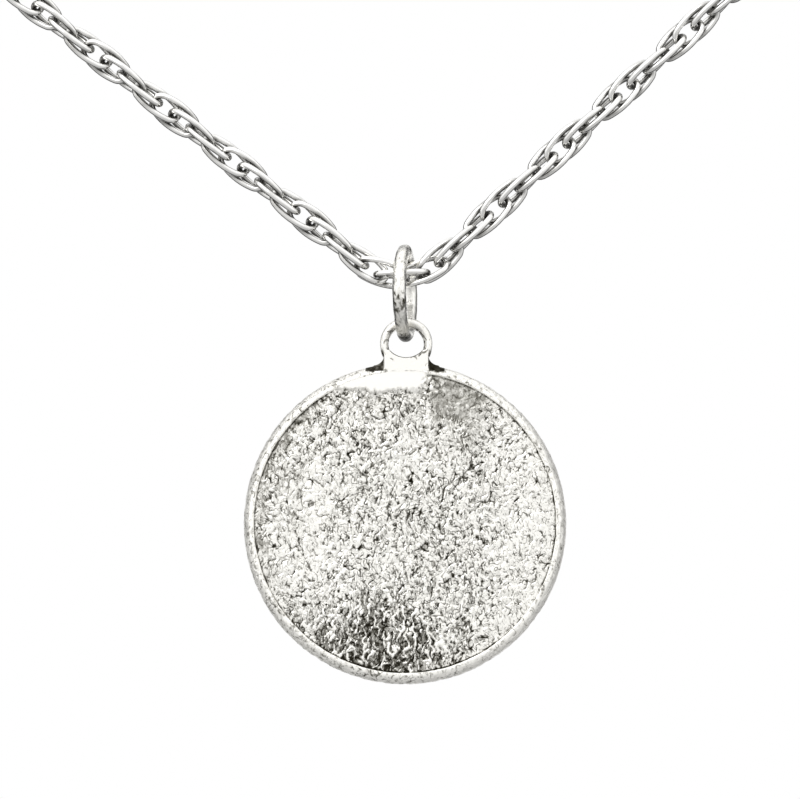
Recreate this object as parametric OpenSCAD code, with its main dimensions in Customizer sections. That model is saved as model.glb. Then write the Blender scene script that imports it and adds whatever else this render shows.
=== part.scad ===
// Compass-sign pendant: a round cast medallion on a jump ring and a loose rope chain.
// Millimetres. The origin is the top of the chain's loop, where it hangs.
// X is across, Z is up, and the medallion's back faces -Y, as in the photo.

/* [Chain] */
// Length of the whole loop, clasp included (20 inches)
necklace_length = 508; // [400:1:600]
// Chain wire diameter
wire = 0.62; // [0.5:0.01:0.7]
// Step from link to link along the straight chain
pitch = 2.21; // [2.1:0.01:2.3]
// Step from link to link round the bend at the ring
bend_pitch = 2.04; // [1.9:0.01:2.2]
// Turn of each link about the chain from the one before
link_turn = 45; // [40:1:50]
// The same for the two links each side of the bend's middle
bend_turn = 58; // [45:1:65]
// Links left of the middle one
links_left = 112; // [100:1:120]
// Links right of the middle one
links_right = 111; // [100:1:120]
// Bend radius of the rounded ends of a link
link_end_radius = 1.0; // [0.9:0.01:1.1]
// How much larger the radius of a link's long sides is
side_extra = 5.75; // [5:0.05:6.5]

/* [Chain route] */
// Slope of the two straight arms
arm_slope = 40.6; // [35:0.1:45]
// Lean of the whole loop, seen from the back
lean = 2.25; // [0:0.05:4]
// Radius of the chain's bend through the jump ring
bend_radius = 6.1; // [5:0.1:10]

/* [Jump ring] */
// Outside diameter of the jump ring
ring_outer = 9.6; // [8:0.1:11]
// Jump ring wire diameter
ring_wire = 1.33; // [1:0.01:1.6]
// Turn of the ring about the vertical
ring_turn = 8; // [0:0.5:15]
// Ring centre below the chain's centre line
ring_drop = 2.0; // [1.5:0.05:2.5]
// Ring centre to the right of the loop's lowest point
ring_shift = 0.3; // [0:0.05:1]
// Diameter of the lump of solder on the ring's join
solder_lump = 1.45; // [1.3:0.05:1.8]

/* [Medallion] */
// Diameter of the disc
disc_diameter = 32.2; // [25:0.1:40]
// Thickness over the two borders
disc_thickness = 2.7; // [2:0.1:4]
// Inside radius of the thin lip on the back
lip_radius = 15.05; // [14:0.05:15.5]
// How far the rounded edge stands out past the flat of the lip
edge_bulge = 0.65; // [0.3:0.05:0.8]
// Depth of the back's field below its lip
back_recess = 0.35; // [0.2:0.05:0.6]
// Height of the front's border and figure over its field
relief = 0.45; // [0.3:0.05:0.6]
// Disc centre below the chain's centre line
disc_drop = 25.05; // [24:0.05:27]
// Height of the smooth land's lower edge above the disc's centre, on the back under the eye
land_height = 13.2; // [12:0.1:14]
// Reach of the land to the left and to the right of the middle
land_reach = [6.2, 2.2]; // [0:0.1:7]

/* [Eye] */
// Outside radius of the eye
eye_outer = 2.62; // [2:0.01:3]
// Radius of the eye's hole
eye_inner = 1.77; // [1.5:0.01:2]
// Eye thickness from front to back
eye_depth = 2.0; // [1.6:0.1:3]
// Bevel on the eye's outside edges
eye_bevel = 0.25; // [0.1:0.05:0.4]
// Bevel on the edges of its hole
hole_bevel = 0.35; // [0.1:0.05:0.4]
// Eye centre below the chain's centre line
eye_drop = 7.1; // [7:0.05:8]
// Eye centre to the right of the disc's middle
eye_shift = 0.12; // [0:0.01:0.3]
// Half width of the eye's neck
neck_half = 2.2; // [1.8:0.05:2.25]
// Radius of the hollow seat at the bottom of the eye's hole
seat_radius = 2.2; // [1.9:0.05:3]
// Bottom of the seat below the hole's centre
seat_drop = 1.4; // [1.2:0.05:1.7]
// Radius of the two fillets between the neck and the disc
neck_fillet = 1.1; // [0.6:0.05:1.3]

/* [Figure on the front] */
// Width of the figure's lines
line = 0.8; // [0.5:0.05:1.2]
// Length of a stave from the middle
stave = 12.4; // [10:0.1:13]
// Inside radius of the plain ring round the figure
figure_ring = 13.5; // [12:0.1:14]
// Width of that ring
figure_ring_width = 0.6; // [0.4:0.1:1]
// Distance between the cross bars of a stave
bar_step = 1.5; // [1.2:0.1:2]
// Length of a fork's two arms
fork_arm = 2.4; // [1.5:0.1:3]
// Lean of a fork's arms from the stave
fork_lean = 40; // [20:1:60]
// Half width of a trident and of a tee
prong_reach = 1.5; // [1:0.1:2]
// How far from the stave's end a fork starts
fork_foot = 2.0; // [1:0.1:3]
// Length of a trident's prongs
prong = 1.6; // [1:0.1:2]

/* [Clasp] */
// Distance between the clasp's two holes
clasp_holes = 10.5; // [9:0.1:12]
// Diameter of each hole
clasp_hole = 1.3; // [1:0.1:1.6]
// Length and width of the body
clasp_body = [8.6, 4.6]; // [3:0.1:10]
// Length and width of the opening in the body
clasp_opening = [5.2, 2.2]; // [1:0.1:7]
// Thickness of the body
clasp_depth = 1.8; // [1.2:0.1:2.5]
// Width of the metal round each hole
clasp_wall = 0.8; // [0.5:0.1:1]
// Thickness of that metal
clasp_tab = 0.9; // [0.6:0.1:1.2]

/* [Hidden] */
$fn = 72;
silver = [0.80, 0.80, 0.79];
dull_silver = [0.66, 0.66, 0.65];
// How far joined shapes reach into each other
overlap = 0.2;

// Slopes that arcs meet at are those of a 7-24-25 triangle, so the cut faces are exact.
arc_run = 0.28;
arc_rise = 0.96;
side_radius = link_end_radius + side_extra;
end_centre = arc_run * side_extra;
side_centre = arc_rise * side_extra;

// The route, from the lowest point: a bend, a straight arm, then one large arc over the top.
bend_arc = bend_radius * arm_slope * PI / 180;
top_radius = (necklace_length / 2 - bend_arc + bend_radius * tan(arm_slope))
    / (tan(arm_slope) + PI - arm_slope * PI / 180);
arm = (top_radius - bend_radius) * tan(arm_slope);
loop_height = bend_radius * (1 - cos(arm_slope)) + arm * sin(arm_slope) + top_radius * cos(arm_slope);

// How far the links at the bend sit off the route. Columns are up and sideways, and rows count from
// the middle link
bend_seat = [[0.15, 0], [0, -0.08], [0, 0.02], [-0.06, 0.03]];

// Where things hang: the middle of the ring and the disc, and the height that drops are measured from
bottom = leaned([0, 0]);
hang_rise = 0.04;
drop_x = bottom[0] + ring_shift;
drop_z = bottom[1] + hang_rise;
eye_middle = (eye_depth - disc_thickness) / 2;
ring_radius = (ring_outer - ring_wire) / 2;
disc_radius = disc_diameter / 2;

// The route before it leans: x, z and slope at a distance d from the lowest point
function half_route(d) =
    d <= bend_arc ? arc_point([0, bend_radius], bend_radius, d / bend_radius * 180 / PI)
    : d <= bend_arc + arm ? arm_point(d - bend_arc)
    : arc_point([0, loop_height], top_radius, arm_slope + (d - bend_arc - arm) / top_radius * 180 / PI);
function arc_point(centre, radius, angle) =
    [centre[0] + radius * sin(angle), centre[1] - radius * cos(angle), angle];
function arm_point(d) =
    [bend_radius * sin(arm_slope) + d * cos(arm_slope),
     bend_radius * (1 - cos(arm_slope)) + d * sin(arm_slope), arm_slope];
function route(s) = let (p = half_route(abs(s))) s < 0 ? [-p[0], p[1], -p[2]] : p;

// Leans a point of the route about the middle of the top arc, and moves the top to the origin
function leaned(p) =
    [p[0] * cos(lean) - (p[1] - loop_height) * sin(lean),
     p[0] * sin(lean) + (p[1] - loop_height) * cos(lean) - top_radius];

// Distance along the route, and turn about it, of the link k places from the middle one
function link_distance(k) = sign(k) * (min(abs(k), 2) * bend_pitch + max(abs(k) - 2, 0) * pitch);
function link_angle(k) = 90 + sign(k) * (min(abs(k), 2) * bend_turn + max(abs(k) - 2, 0) * link_turn);
function seat(k) = abs(k) < len(bend_seat) ? bend_seat[abs(k)] : [0, 0];

// Moves its children to a place on the route, X along the chain and Z away from its lower side
module on_route(s) {
    p = route(s);
    xz = leaned(p);
    translate([xz[0], 0, xz[1]]) rotate([0, -(p[2] + lean), 0]) children();
}

// One of the four arcs of an oval link: even parts are the ends, odd parts the long sides
module link_arc(part) {
    far = 10;
    run = far * arc_run;
    rise = far * arc_rise;
    rotate([90, 0, 0]) rotate([0, 0, part > 1 ? 180 : 0]) {
        if (part % 2 == 0) translate([end_centre, 0, 0]) intersection() {
            rotate_extrude() translate([link_end_radius, 0]) circle(d = wire);
            translate([0, 0, -wire]) linear_extrude(2 * wire)
                polygon([[0, 0], [run, rise], [far, rise], [far, -rise], [run, -rise]]);
        }
        if (part % 2 == 1) translate([0, -side_centre, 0]) intersection() {
            rotate_extrude() translate([side_radius, 0]) circle(d = wire);
            translate([0, 0, -wire]) linear_extrude(2 * wire) polygon([[0, 0], [run, rise], [-run, rise]]);
        }
    }
}

module chain(first, last) {
    for (k = [first:last], part = [0:3])
        on_route(link_distance(k))
            translate([0, sign(k) * seat(k)[1], seat(k)[0]]) rotate([link_angle(k), 0, 0]) link_arc(part);
}

module chain_left() {
    color(silver) chain(-links_left, 0);
}

module chain_right() {
    color(silver) chain(1, links_right);
}

// A flat shape with half circles for its ends; size is its length and width
module slot(size) {
    straight = size[0] - size[1];
    square([straight, size[1]], center = true);
    for (side = [-1, 1]) translate([side * straight / 2, 0]) circle(d = size[1]);
}

// A plain one-piece clasp that the two end links pass through
module clasp() {
    middle = (link_distance(links_right) + necklace_length - link_distance(links_left)) / 2;
    color(silver) on_route(middle) rotate([link_angle(links_right), 0, 0]) {
        for (side = [-1, 1]) translate([side * clasp_holes / 2, 0, 0]) difference() {
            cylinder(d = clasp_hole + 2 * clasp_wall, h = clasp_tab, center = true);
            cylinder(d = clasp_hole, h = 2 * clasp_tab, center = true);
        }
        translate([0, 0, -clasp_depth / 2]) linear_extrude(clasp_depth) difference() {
            slot(clasp_body);
            slot(clasp_opening);
        }
    }
}

// The soldered jump ring, with the lump of its join at the top
module jump_ring() {
    color(dull_silver) translate([drop_x, eye_middle, drop_z - ring_drop]) rotate([0, 0, -ring_turn]) {
        rotate([0, 90, 0]) rotate_extrude() translate([ring_radius, 0]) circle(d = ring_wire);
        translate([0, 0, ring_radius + overlap / 2]) sphere(d = solder_lump);
    }
}

// The disc's cut: a thin web between two borders with a rounded edge
module disc_section() {
    half = disc_thickness / 2;
    edge_radius = (half * half + edge_bulge * edge_bulge) / (2 * edge_bulge);
    web = disc_thickness - back_recess - relief;
    translate([0, back_recess - half]) square([lip_radius + overlap, web]);
    intersection() {
        translate([disc_radius - edge_radius, 0]) circle(r = edge_radius);
        translate([lip_radius, -half]) square([2 * edge_bulge, disc_thickness]);
    }
}

// The eye's cut, with bevelled edges
module eye_section() {
    half = eye_depth / 2;
    polygon([[eye_inner + hole_bevel, -half], [eye_outer - eye_bevel, -half], [eye_outer, eye_bevel - half],
             [eye_outer, half - eye_bevel], [eye_outer - eye_bevel, half], [eye_inner + hole_bevel, half],
             [eye_inner, half - hole_bevel], [eye_inner, hole_bevel - half]]);
}

// The hollow that the neck leaves at the bottom of the eye's hole
module seat_hollow() {
    translate([0, seat_radius - seat_drop]) circle(r = seat_radius);
}

// The neck's outline; it starts where the seat's arc leaves the hole's
module neck(root) {
    seat_rise = seat_radius - seat_drop;
    start = (pow(eye_inner, 2) + pow(seat_rise, 2) - pow(seat_radius, 2)) / (2 * seat_rise);
    difference() {
        translate([-neck_half, -root]) square([2 * neck_half, root + start]);
        seat_hollow();
    }
}

// The two fillets' outline, between the neck and the disc's edge
module neck_fillets(foot, root) {
    reach = neck_half + neck_fillet;
    edge = sqrt(pow(disc_radius, 2) - pow(reach, 2)) - disc_radius - foot;
    difference() {
        translate([-reach, -root]) square([2 * reach, root + edge + neck_fillet]);
        for (side = [-1, 1]) translate([side * reach, edge + neck_fillet]) circle(r = neck_fillet);
        seat_hollow();
    }
}

// The eye: a bevelled ring on a neck that spreads onto the disc
module eye() {
    foot = disc_drop - disc_radius - eye_drop;
    root = foot + edge_bulge + 2 * overlap;
    rotate([90, 0, 0]) {
        rotate_extrude() eye_section();
        translate([0, 0, -eye_depth / 2]) linear_extrude(eye_depth) neck(root + overlap);
        translate([0, 0, eye_bevel - eye_depth / 2]) linear_extrude(eye_depth - 2 * eye_bevel)
            neck_fillets(foot, root);
    }
}

// The smooth land under the eye, level with the lip
module land() {
    linear_extrude(back_recess + overlap) intersection() {
        circle(r = lip_radius + overlap);
        translate([-land_reach[0], land_height])
            square([land_reach[0] + land_reach[1], disc_radius - land_height]);
    }
}

// A straight line of the figure, from a point, along a direction
module bar(x, y, angle, length) {
    translate([x, y]) rotate(angle) translate([-line / 2, 0]) square([line, length]);
}

// A half circle of the figure across a stave; it opens outward or inward
module bow(y, radius, outward) {
    reach = radius + line;
    translate([0, y]) intersection() {
        difference() {
            circle(r = radius + line / 2);
            circle(r = radius - line / 2);
        }
        translate([-reach, outward ? -reach : 0]) square([2 * reach, reach]);
    }
}

// The eight staves. Columns: turn, number of cross bars, where the bars start, half width of a bar,
// height of the bow, its radius, whether it opens outward, and the end
STAVES = [
    [0, 3, 3.6, 1.2, 9.0, 1.6, true, "fork"],
    [45, 2, 4.4, 1.3, 9.6, 1.5, false, "tee"],
    [90, 3, 4.0, 1.2, 10.2, 1.5, true, "fork"],
    [135, 2, 4.6, 1.4, 8.6, 1.4, true, "trident"],
    [180, 4, 3.8, 1.2, 9.9, 1.6, true, "tee"],
    [225, 2, 4.4, 1.3, 9.0, 1.5, false, "trident"],
    [270, 3, 4.0, 1.4, 9.4, 1.5, true, "fork"],
    [315, 2, 4.8, 1.2, 9.8, 1.5, false, "tee"]];

module stave_end(kind) {
    if (kind == "fork") for (side = [-1, 1]) bar(0, stave - fork_foot, side * fork_lean, fork_arm);
    if (kind == "trident") {
        for (side = [-1, 1]) bar(side * prong_reach, stave - prong, 0, prong);
        bar(-prong_reach - line / 2, stave - prong, -90, 2 * prong_reach + line);
    }
    if (kind == "tee") bar(-prong_reach, stave - line / 2, -90, 2 * prong_reach);
}

// The old way-finding sign, raised on the front: eight staves from one middle
module figure() {
    for (row = STAVES) rotate(row[0]) {
        bar(0, 0, 0, stave);
        for (i = [0:row[1] - 1]) bar(-row[3], row[2] + i * bar_step, -90, 2 * row[3]);
        bow(row[4], row[5], row[6]);
        stave_end(row[7]);
    }
}

// The plain ring round the figure
module figure_border() {
    difference() {
        circle(r = figure_ring + figure_ring_width);
        circle(r = figure_ring);
    }
}

// Moves its children to the disc's middle, Z out of the front
module on_disc() {
    translate([0, 0, -disc_drop]) rotate([-90, 0, 0]) children();
}

// Raises a flat shape from the front's field
module raised() {
    translate([0, 0, disc_thickness / 2 - relief - overlap]) linear_extrude(relief + overlap) children();
}

// The whole casting: disc, eye and figure are one piece of metal
module medallion() {
    color(silver) translate([drop_x, 0, drop_z]) {
        on_disc() rotate_extrude() disc_section();
        on_disc() raised() figure_border();
        on_disc() raised() rotate(180) figure();
        on_disc() rotate([180, 0, 0]) translate([0, 0, disc_thickness / 2 - back_recess - overlap]) land();
        translate([eye_shift, eye_middle, -eye_drop]) eye();
    }
}

medallion();
jump_ring();
chain_left();
chain_right();
clasp();
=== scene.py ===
"""Compass-sign pendant: an antiqued cast medallion on a jump ring and a polished rope chain."""
import math

import bmesh
import bpy
import numpy as np
from mathutils import Matrix, Vector


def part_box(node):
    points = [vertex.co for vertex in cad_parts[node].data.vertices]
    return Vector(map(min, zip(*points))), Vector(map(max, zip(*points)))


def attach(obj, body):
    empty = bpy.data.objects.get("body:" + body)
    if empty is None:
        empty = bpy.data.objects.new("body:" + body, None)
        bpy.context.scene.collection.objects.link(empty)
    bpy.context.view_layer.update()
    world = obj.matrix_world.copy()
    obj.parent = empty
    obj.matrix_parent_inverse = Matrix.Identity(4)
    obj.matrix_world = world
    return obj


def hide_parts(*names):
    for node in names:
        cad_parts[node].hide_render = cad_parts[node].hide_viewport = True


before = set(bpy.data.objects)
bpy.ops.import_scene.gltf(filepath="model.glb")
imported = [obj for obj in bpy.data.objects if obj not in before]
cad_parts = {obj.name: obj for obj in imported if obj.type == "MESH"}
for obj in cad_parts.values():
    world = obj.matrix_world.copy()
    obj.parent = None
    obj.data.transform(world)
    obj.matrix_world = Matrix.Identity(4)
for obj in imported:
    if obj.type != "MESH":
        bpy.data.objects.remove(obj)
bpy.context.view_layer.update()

MM = 0.001
rng = np.random.default_rng(7)

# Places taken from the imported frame, in millimetres
disc_low, disc_high = (Vector(corner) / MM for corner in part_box("medallion"))
ring_low, ring_high = (Vector(corner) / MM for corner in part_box("jump_ring"))
clasp_low, clasp_high = (Vector(corner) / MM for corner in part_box("clasp"))
disc_radius = (disc_high.x - disc_low.x) / 2
disc_half = (disc_high.y - disc_low.y) / 2
disc_centre = Vector(((disc_high.x + disc_low.x) / 2, 0, disc_low.z + disc_radius))

# The chain's sizes in millimetres, its counts and its angles, all as the solids have them
NECKLACE_LENGTH = 508
WIRE = 0.62
PITCH = 2.21
BEND_PITCH = 2.04
BEND_LINKS = 2
LINK_TURN = 45
BEND_TURN = 58
LINKS_LEFT = 112
LINKS_RIGHT = 111
LINK_END_RADIUS = 1.0
SIDE_EXTRA = 5.75
ARC_RUN = 0.28
ARC_RISE = 0.96
ARM_SLOPE = math.radians(40.6)
LEAN = math.radians(2.25)
BEND_RADIUS = 6.1

# Lift and sideways shift of the links in the bend, from the middle one outward
BEND_SEAT = [(0.15, 0), (0, -0.08), (0, 0.02), (-0.06, 0.03)]

# How finely a link is drawn, how far the loose links roll, and how many by the bend don't
LINK_END_STEPS = 14
LINK_SIDE_STEPS = 9
WIRE_SIDES = 12
LOOSE_ROLL = 1.2
STEADY_LINKS = 5

# How many links on each side of a link darken it with tarnish and painted shade, and how far from them that
# darkening reaches
SHADE_AND_TARNISH_LINKS = 4
SHADE_AND_TARNISH_REACH = 0.8

# The jump ring
RING_OUTER = 9.6
RING_WIRE = 1.33
RING_TURN = math.radians(8)
RING_FULLNESS = 0.015
RING_DENT = 0.022
RING_FINE_DENT = 0.012
RING_STEPS = 160
RING_SIDES = 28
LOWEST_ANGLE = 1.5 * math.pi
FLAME_MARK_ANGLE = 1.1 * math.pi

# The ring's soldered join: its lump, and the seam beside it
JOIN_ANGLE = math.pi / 2
JOIN_REACH = 0.17
JOIN_SWELL = 0.06
JOIN_OUTWARD = 0.12
JOIN_LUMPS = 0.06
SEAM_FROM_JOIN = 0.19
SEAM_REACH = 0.03
SEAM_DEPTH = 0.07

# The disc: its lips, its bulging edge, their dents, and how far its fields lie from its middle plane
LIP_RADIUS = 15.05
LIP_WIDTH = 0.3
LIP_TOP = LIP_RADIUS + LIP_WIDTH
LIP_BEVEL = 0.10
EDGE_BULGE = 0.65
EDGE_STEPS = 25
RIM_STEPS = 840
WALL_DENT = 0.10
WALL_FINE_DENT = 0.05
LIP_WANDER = 0.05
LIP_FINE_WANDER = 0.02
BACK_LEVEL = 1.0
FRONT_LEVEL = 0.9
UNDER_LIP = 0.2
GRID_STEP = 0.09

# The smooth land under the eye, measured from the disc's middle
LAND_HEIGHT = 13.2
LAND_LEFT = 6.8
LAND_RIGHT = 1.5
LAND_BELOW_LIP = 0.01

# The back's relief and its shading, and the middle of the flame-like ridges low on its left
WANDER = 0.7
FINE_WANDER = 0.16
LUMP_HEIGHT = 0.08
CUT_DEPTH = 0.08
CUT_SHADE = 0.68
HOLLOW_SHADE = 0.22
FLAME_HEIGHT = 0.13
FLAME_X = -2.4
FLAME_Z = -12.9

# The eye and its neck, heights measured from the disc's top
NECK_HALF = 2.2
EYE_SHIFT = 0.12
EYE_HOLE = 1.77
EYE_BEVEL = 2.35
EYE_HEIGHT = 1.85
SEAT_RADIUS = 2.2
SEAT_HEIGHT = 2.65
EYE_KEPT_HALF = 4

# What a stroke's width starts from, so that nothing is divided by zero
LEAST_WIDTH = 0.0001

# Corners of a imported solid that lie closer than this, in millimetres, are one corner
WELD_GAP = 0.0005

# The figure on the front and its hammered ground
RELIEF = 0.45
CROWN = 0.07
HAMMER_DEPTH = 0.07
GRAIN_DEPTH = 0.04
LINE = 0.8
STAVE = 12.4
BAR_GAP = 1.5
BOW_STEPS = 12
FORK_LENGTH = 2.4
FORK_START = 2
FORK_SPREAD = math.radians(40)
END_HALF = 1.5
TRIDENT_DEPTH = 1.6
FIGURE_RING = 13.5
FIGURE_RING_HALF = 0.3


def smooth_step(low, high, value):
    """0 at the low value, 1 at the high one and an S-curve between them."""
    t = np.clip((value - low) / (high - low), 0, 1)
    return t * t * (3 - 2 * t)


def bell(value, middle, reach):
    """1 at the middle, fading to 0 on both sides."""
    return np.exp(-((value - middle) / reach) ** 2)


def spot(x, z, middle_x, middle_z, reach_x, reach_z):
    """1 at one place of the disc, fading to 0 around it."""
    return bell(x, middle_x, reach_x) * bell(z, middle_z, reach_z)


def full_turn(steps):
    """Evenly spaced angles of one full turn."""
    return np.arange(steps) * 2 * math.pi / steps


class LatticeNoise:
    """Smooth random values between about -1 and 1 on a plane, each feature about one unit wide."""

    SIZE = 256
    GAIN = 1.5

    def __init__(self, seed):
        source = np.random.default_rng(seed)
        angle = source.uniform(0, 2 * math.pi, (self.SIZE, self.SIZE))
        self.gradient_x = np.cos(angle)
        self.gradient_y = np.sin(angle)

    def corner(self, column, row, dx, dy):
        """What one lattice corner gives to the points around it."""
        i = column % self.SIZE
        j = row % self.SIZE
        return self.gradient_x[i, j] * dx + self.gradient_y[i, j] * dy

    def __call__(self, x, y):
        column = np.floor(x).astype(int)
        row = np.floor(y).astype(int)
        dx = x - column
        dy = y - row
        u = dx * dx * dx * (dx * (dx * 6 - 15) + 10)
        v = dy * dy * dy * (dy * (dy * 6 - 15) + 10)
        low = (1 - u) * self.corner(column, row, dx, dy) + u * self.corner(column + 1, row, dx - 1, dy)
        high = ((1 - u) * self.corner(column, row + 1, dx, dy - 1)
                + u * self.corner(column + 1, row + 1, dx - 1, dy - 1))
        return ((1 - v) * low + v * high) * self.GAIN


def point_value(mesh, name, value):
    """Keeps a value from 0 to 1 on each point, for the materials to read."""
    attribute = mesh.attributes.new(name, "FLOAT", "POINT")
    attribute.data.foreach_set("value", np.clip(value, 0, 1).astype(np.float32).reshape(-1))


def new_mesh(name, points, faces, **values):
    """A smooth-shaded object from millimetre points, with named values kept on its points."""
    mesh = bpy.data.meshes.new(name)
    mesh.from_pydata((np.asarray(points) * MM).tolist(), [], faces)
    mesh.shade_smooth()
    for value_name, value in values.items():
        point_value(mesh, value_name, value)
    mesh.update()
    piece = bpy.data.objects.new(name, mesh)
    bpy.context.scene.collection.objects.link(piece)
    return piece


def tube_faces(rings, sides, closed=True):
    """Quads between rings of points, the last ring joined to the first. Closed rings join up too."""
    i, j = np.meshgrid(np.arange(rings), np.arange(sides if closed else sides - 1), indexing="ij")
    a = i * sides + j
    b = i * sides + (j + 1) % sides
    c = (i + 1) % rings * sides + (j + 1) % sides
    d = (i + 1) % rings * sides + j
    return np.stack([a, b, c, d], axis=-1).reshape(-1, 4)


# Materials

# How a pattern is stretched so that it runs up and down
UPRIGHT = (1.0, 1.0, 0.75)
UPRIGHT_FURTHER = (1.0, 1.3, 0.8)

# Layers of dark strokes in cast silver. Columns: scale, width in millimetres, share of the full depth
STROKE_LAYERS = [(1.0, 0.085, 1.0), (1.5, 0.06, 0.8), (2.2, 0.045, 0.6)]

# Tones of cast silver from its deepest patina to bare metal. Columns: place, grey
PATINA = [(0.06, 0.005), (0.2, 0.025), (0.30, 0.14), (0.385, 0.36), (0.44, 0.60), (0.50, 0.84), (0.58, 0.96)]


def tinted(grey, warmth):
    """A grey turned a little towards brown, the more so the darker it is."""
    shift = warmth * max(grey, 0.001) ** -0.6
    return (grey * (1 + shift), grey * (1 + 0.4 * shift), grey * (1 - 1.5 * shift), 1)


class Graph:
    """The nodes of a material or a world, with a short call for each kind that is used often."""

    def __init__(self, owner, shader):
        owner.use_nodes = True
        self.nodes = owner.node_tree.nodes
        self.links = owner.node_tree.links
        self.shader = self.nodes[shader]

    def feed(self, socket, value):
        """Gives a socket another node's output or a value of its own."""
        if isinstance(value, bpy.types.NodeSocket):
            self.links.new(value, socket)
        else:
            socket.default_value = value

    def math(self, operation, *values):
        """One step of arithmetic on sockets or plain numbers."""
        step = self.nodes.new("ShaderNodeMath")
        step.operation = operation
        for socket, value in zip(step.inputs, values):
            self.feed(socket, value)
        return step.outputs["Value"]

    def vector_math(self, operation, *values):
        """One step of arithmetic on vectors."""
        step = self.nodes.new("ShaderNodeVectorMath")
        step.operation = operation
        for socket, value in zip(step.inputs, values):
            self.feed(socket, value)
        return step.outputs["Vector"]

    def object_place(self):
        """The place in the piece's own space, in metres."""
        return self.nodes.new("ShaderNodeTexCoord").outputs["Object"]

    def noise(self, scale, detail, roughness=0.6, stretch=None, place=None, output="Fac"):
        """Noise in object space, or at a given place, its scale in features per millimetre."""
        if place is None:
            place = self.object_place()
        if stretch is not None:
            mapping = self.nodes.new("ShaderNodeMapping")
            mapping.inputs["Scale"].default_value = stretch
            self.links.new(place, mapping.inputs["Vector"])
            place = mapping.outputs["Vector"]
        texture = self.nodes.new("ShaderNodeTexNoise")
        texture.inputs["Scale"].default_value = scale / MM
        texture.inputs["Detail"].default_value = detail
        texture.inputs["Roughness"].default_value = roughness
        self.links.new(place, texture.inputs["Vector"])
        return texture.outputs[output]

    def ramp(self, source, stops, warmth=0.0):
        """A colour ramp; each stop is a place and a grey."""
        ramp = self.nodes.new("ShaderNodeValToRGB")
        self.links.new(source, ramp.inputs["Fac"])
        elements = ramp.color_ramp.elements
        while len(elements) < len(stops):
            elements.new(0.5)
        for element, (place, grey) in zip(elements, stops):
            element.position = place
            element.color = tinted(grey, warmth)
        return ramp.outputs["Color"]

    def attribute(self, name):
        """A value kept on the points of the mesh."""
        attribute = self.nodes.new("ShaderNodeAttribute")
        attribute.attribute_name = name
        return attribute.outputs["Fac"]

    def mix(self, blend, first, second):
        """Two colours blended in full."""
        mix = self.nodes.new("ShaderNodeMix")
        mix.data_type = "RGBA"
        mix.blend_type = blend
        mix.inputs["Factor"].default_value = 1.0
        self.links.new(first, mix.inputs["A"])
        self.links.new(second, mix.inputs["B"])
        return mix.outputs["Result"]

    def finish_metal(self, colour, roughness, height, depth):
        """Joins a metal's colour, roughness and relief, its depth in millimetres, to the shader."""
        bump = self.nodes.new("ShaderNodeBump")
        bump.inputs["Distance"].default_value = depth * MM
        bump.inputs["Strength"].default_value = 1.0
        self.links.new(height, bump.inputs["Height"])
        self.links.new(colour, self.shader.inputs["Base Color"])
        self.links.new(roughness, self.shader.inputs["Roughness"])
        self.links.new(bump.outputs["Normal"], self.shader.inputs["Normal"])


def new_material(name):
    """A material and the graph of its nodes."""
    material = bpy.data.materials.new(name)
    return material, Graph(material, "Principled BSDF")


def polished_silver():
    """Bright silver wire: fine wiping scratches, and tarnish and painted shade where the tone is low."""
    material, graph = new_material("polished_silver")
    graph.shader.inputs["Metallic"].default_value = 1.0
    cloud = graph.noise(0.7, 2)
    level = graph.math("MULTIPLY", graph.attribute("tone"), graph.math("ADD", cloud, 0.5))
    colour = graph.ramp(level, [(0.0, 0.06), (0.35, 0.34), (0.75, 0.86), (0.95, 0.96)], 0.012)
    gloss = graph.ramp(level, [(0.2, 0.3), (0.9, 0.07)])
    scratch = graph.noise(2.5, 2, stretch=(1, 4, 1))
    graph.finish_metal(colour, gloss, scratch, depth=0.004)
    return material


def soldered_silver():
    """The jump ring's wire: dull, drawn and hammered, with dark streaks left by the flame, and painted light
    and shade carried by its tone.
    """
    material, graph = new_material("soldered_silver")
    graph.shader.inputs["Metallic"].default_value = 1.0
    streak = graph.noise(1.6, 4, 0.65, stretch=(1.6, 1.6, 0.6))
    shade = graph.math("MULTIPLY", graph.math("SUBTRACT", graph.attribute("tone"), 0.75), 0.4)
    level = graph.math("ADD", streak, shade)
    colour = graph.ramp(level, [(0.2, 0.04), (0.33, 0.2), (0.39, 0.62), (0.45, 0.95)], 0.025)
    gloss = graph.ramp(level, [(0.35, 0.3), (0.6, 0.12)])
    grain = graph.noise(3.5, 3, 0.6, stretch=(1.8, 1.8, 0.5))
    graph.finish_metal(colour, gloss, grain, depth=0.05)
    return material


def flowing_place(graph, scale, reach):
    """Object space bent by noise, so that what is drawn in it runs in wandering directions."""
    place = graph.object_place()
    bend = graph.noise(scale, 2.5, 0.45, place=place, output="Color")
    centred = graph.vector_math("SUBTRACT", bend, (0.5, 0.5, 0.5))
    return graph.vector_math("MULTIPLY_ADD", centred, (reach * MM,) * 3, place)


def short_strokes(graph, place, scale, width):
    """Short tapered strokes, 1 on a stroke and 0 off it: pieces of a noise's middle contour."""
    gate_low = 0.46
    gate_high = 0.62
    line = graph.noise(scale, 0, stretch=UPRIGHT, place=place)
    off_line = graph.math("ABSOLUTE", graph.math("SUBTRACT", line, 0.5))
    gate = graph.noise(scale * 0.9, 0, stretch=UPRIGHT_FURTHER, place=place)
    opened = graph.ramp(gate, [(gate_low, 0.0), (gate_high, 1.0)])
    half_width = graph.math("MULTIPLY_ADD", opened, width * scale * 0.3, LEAST_WIDTH)
    stroke = graph.ramp(graph.math("DIVIDE", off_line, half_width), [(0.3, 1.0), (1.0, 0.0)])
    faint = graph.ramp(opened, [(0.0, 0.0), (0.3, 1.0)])
    return graph.math("MULTIPLY", stroke, faint)


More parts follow.
